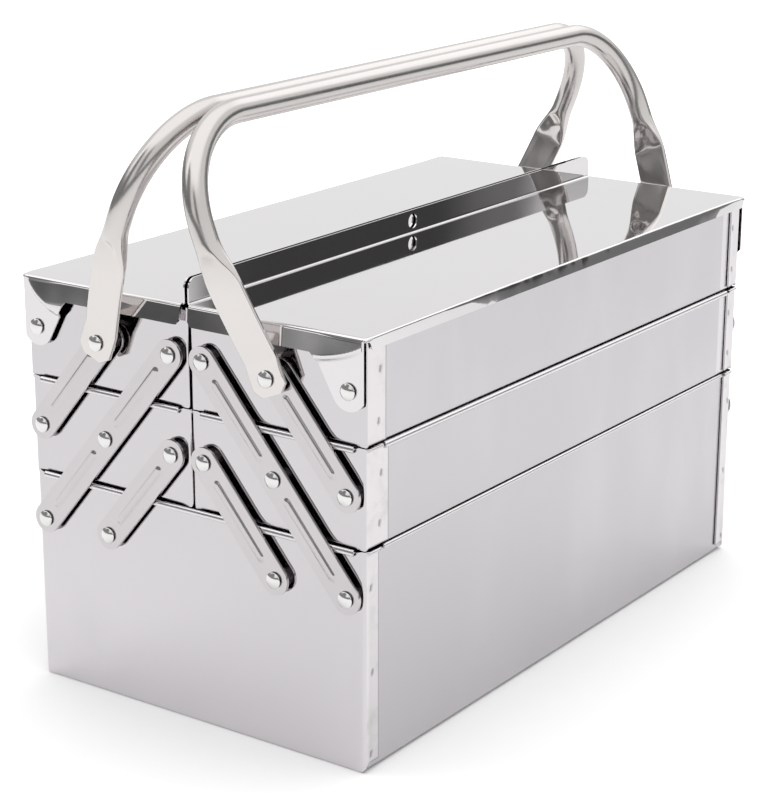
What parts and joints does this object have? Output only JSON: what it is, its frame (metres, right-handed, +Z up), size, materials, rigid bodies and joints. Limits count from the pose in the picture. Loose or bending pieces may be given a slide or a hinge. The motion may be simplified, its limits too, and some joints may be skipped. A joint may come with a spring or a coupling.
{
  "type": "cantilever tool box",
  "caption": "Stainless cantilever tool box: a deep base, linked trays that fold out on riveted arms, two hinged lids and two swinging tube handles.",
  "frame": {"origin": "centre of the case's footprint, on the floor under the base", "axes": "+X along the case towards its back end, +Y across it towards its left side, +Z up"},
  "size_m": [0.407, 0.206, 0.3019],
  "materials": {
    "trays": "satin stainless steel",
    "end_panels": "polished stainless steel",
    "lids": "mirror-polished stainless steel",
    "arms": "satin stainless steel",
    "handles": "satin stainless steel tube",
    "rivets": "bright steel",
    "spacers": "plain steel"
  },
  "bodies": {
    "base": {"base_shell": "trays", "base_end_front": "end_panels", "base_end_back": "end_panels", "base_rivets": "rivets", "base_spacers": "spacers"},
    "mid_tray_right": {"mid_tray_right": "trays", "mid_end_front_right": "end_panels", "mid_end_back_right": "end_panels", "mid_rivets_right": "rivets", "mid_spacers_right": "spacers"},
    "top_tray_right": {"top_tray_right": "trays", "top_end_front_right": "end_panels", "top_end_back_right": "end_panels", "top_rivets_right": "rivets", "top_spacers_right": "spacers", "lid_rivets_right": "rivets", "lid_spacers_right": "spacers"},
    "arm_long_front_right": {"arm_long_front_right": "arms"},
    "arm_long_back_right": {"arm_long_back_right": "arms"},
    "arm_low_front_right": {"arm_low_front_right": "arms"},
    "arm_low_back_right": {"arm_low_back_right": "arms"},
    "arm_top_front_right": {"arm_top_front_right": "arms"},
    "arm_top_back_right": {"arm_top_back_right": "arms"},
    "lid_right": {"lid_right": "lids"},
    "handle_right": {"handle_right": "handles"},
    "mid_tray_left": {"mid_tray_left": "trays", "mid_end_front_left": "end_panels", "mid_end_back_left": "end_panels", "mid_rivets_left": "rivets", "mid_spacers_left": "spacers"},
    "top_tray_left": {"top_tray_left": "trays", "top_end_front_left": "end_panels", "top_end_back_left": "end_panels", "top_rivets_left": "rivets", "top_spacers_left": "spacers", "lid_rivets_left": "rivets", "lid_spacers_left": "spacers"},
    "arm_long_front_left": {"arm_long_front_left": "arms"},
    "arm_long_back_left": {"arm_long_back_left": "arms"},
    "arm_low_front_left": {"arm_low_front_left": "arms"},
    "arm_low_back_left": {"arm_low_back_left": "arms"},
    "arm_top_front_left": {"arm_top_front_left": "arms"},
    "arm_top_back_left": {"arm_top_back_left": "arms"},
    "lid_left": {"lid_left": "lids"},
    "handle_left": {"handle_left": "handles"}
  },
  "joints": [
    {"name": "fold_right", "type": "hinge", "parent": "base", "child": "arm_long_front_right", "pos_m": [0, -0.092, 0.0865], "axis": [1, 0, 0], "range_deg": [0, 79]},
    {"name": "long_back_pivot_right", "type": "hinge", "parent": "base", "child": "arm_long_back_right", "pos_m": [0, -0.092, 0.0865], "axis": [1, 0, 0], "range_deg": [0, 79]},
    {"name": "low_front_pivot_right", "type": "hinge", "parent": "base", "child": "arm_low_front_right", "pos_m": [0, -0.051, 0.0865], "axis": [1, 0, 0], "range_deg": [0, 79]},
    {"name": "low_back_pivot_right", "type": "hinge", "parent": "base", "child": "arm_low_back_right", "pos_m": [0, -0.051, 0.0865], "axis": [1, 0, 0], "range_deg": [0, 79]},
    {"name": "mid_tray_pivot_right", "type": "hinge", "parent": "arm_long_front_right", "child": "mid_tray_right", "pos_m": [0, -0.051, 0.1355], "axis": [1, 0, 0], "range_deg": [-79, 0]},
    {"name": "top_tray_pivot_right", "type": "hinge", "parent": "arm_long_front_right", "child": "top_tray_right", "pos_m": [0, -0.01, 0.1845], "axis": [1, 0, 0], "range_deg": [-79, 0]},
    {"name": "top_front_pivot_right", "type": "hinge", "parent": "mid_tray_right", "child": "arm_top_front_right", "pos_m": [0, -0.092, 0.1355], "axis": [1, 0, 0], "range_deg": [0, 79]},
    {"name": "top_back_pivot_right", "type": "hinge", "parent": "mid_tray_right", "child": "arm_top_back_right", "pos_m": [0, -0.092, 0.1355], "axis": [1, 0, 0], "range_deg": [0, 79]},
    {"name": "lid_hinge_right", "type": "hinge", "parent": "top_tray_right", "child": "lid_right", "pos_m": [0, -0.0933, 0.185], "axis": [1, 0, 0], "range_deg": [0, 125]},
    {"name": "handle_pivot_right", "type": "hinge", "parent": "top_tray_right", "child": "handle_right", "pos_m": [0, -0.051, 0.1845], "axis": [1, 0, 0], "range_deg": [0, 170]},
    {"name": "fold_left", "type": "hinge", "parent": "base", "child": "arm_long_front_left", "pos_m": [0, 0.092, 0.0865], "axis": [-1, 0, 0], "range_deg": [0, 79]},
    {"name": "long_back_pivot_left", "type": "hinge", "parent": "base", "child": "arm_long_back_left", "pos_m": [0, 0.092, 0.0865], "axis": [-1, 0, 0], "range_deg": [0, 79]},
    {"name": "low_front_pivot_left", "type": "hinge", "parent": "base", "child": "arm_low_front_left", "pos_m": [0, 0.051, 0.0865], "axis": [-1, 0, 0], "range_deg": [0, 79]},
    {"name": "low_back_pivot_left", "type": "hinge", "parent": "base", "child": "arm_low_back_left", "pos_m": [0, 0.051, 0.0865], "axis": [-1, 0, 0], "range_deg": [0, 79]},
    {"name": "mid_tray_pivot_left", "type": "hinge", "parent": "arm_long_front_left", "child": "mid_tray_left", "pos_m": [0, 0.051, 0.1355], "axis": [-1, 0, 0], "range_deg": [-79, 0]},
    {"name": "top_tray_pivot_left", "type": "hinge", "parent": "arm_long_front_left", "child": "top_tray_left", "pos_m": [0, 0.01, 0.1845], "axis": [-1, 0, 0], "range_deg": [-79, 0]},
    {"name": "top_front_pivot_left", "type": "hinge", "parent": "mid_tray_left", "child": "arm_top_front_left", "pos_m": [0, 0.092, 0.1355], "axis": [-1, 0, 0], "range_deg": [0, 79]},
    {"name": "top_back_pivot_left", "type": "hinge", "parent": "mid_tray_left", "child": "arm_top_back_left", "pos_m": [0, 0.092, 0.1355], "axis": [-1, 0, 0], "range_deg": [0, 79]},
    {"name": "lid_hinge_left", "type": "hinge", "parent": "top_tray_left", "child": "lid_left", "pos_m": [0, 0.0933, 0.185], "axis": [-1, 0, 0], "range_deg": [0, 125]},
    {"name": "handle_pivot_left", "type": "hinge", "parent": "top_tray_left", "child": "handle_left", "pos_m": [0, 0.051, 0.1845], "axis": [-1, 0, 0], "range_deg": [0, 170]}
  ],
  "couplings": [
    {"joint": "long_back_pivot_right", "follows": "fold_right", "ratio": 1},
    {"joint": "low_front_pivot_right", "follows": "fold_right", "ratio": 1},
    {"joint": "low_back_pivot_right", "follows": "fold_right", "ratio": 1},
    {"joint": "mid_tray_pivot_right", "follows": "fold_right", "ratio": -1},
    {"joint": "top_tray_pivot_right", "follows": "fold_right", "ratio": -1},
    {"joint": "top_front_pivot_right", "follows": "fold_right", "ratio": 1},
    {"joint": "top_back_pivot_right", "follows": "fold_right", "ratio": 1},
    {"joint": "long_back_pivot_left", "follows": "fold_left", "ratio": 1},
    {"joint": "low_front_pivot_left", "follows": "fold_left", "ratio": 1},
    {"joint": "low_back_pivot_left", "follows": "fold_left", "ratio": 1},
    {"joint": "mid_tray_pivot_left", "follows": "fold_left", "ratio": -1},
    {"joint": "top_tray_pivot_left", "follows": "fold_left", "ratio": -1},
    {"joint": "top_front_pivot_left", "follows": "fold_left", "ratio": 1},
    {"joint": "top_back_pivot_left", "follows": "fold_left", "ratio": 1}
  ]
}
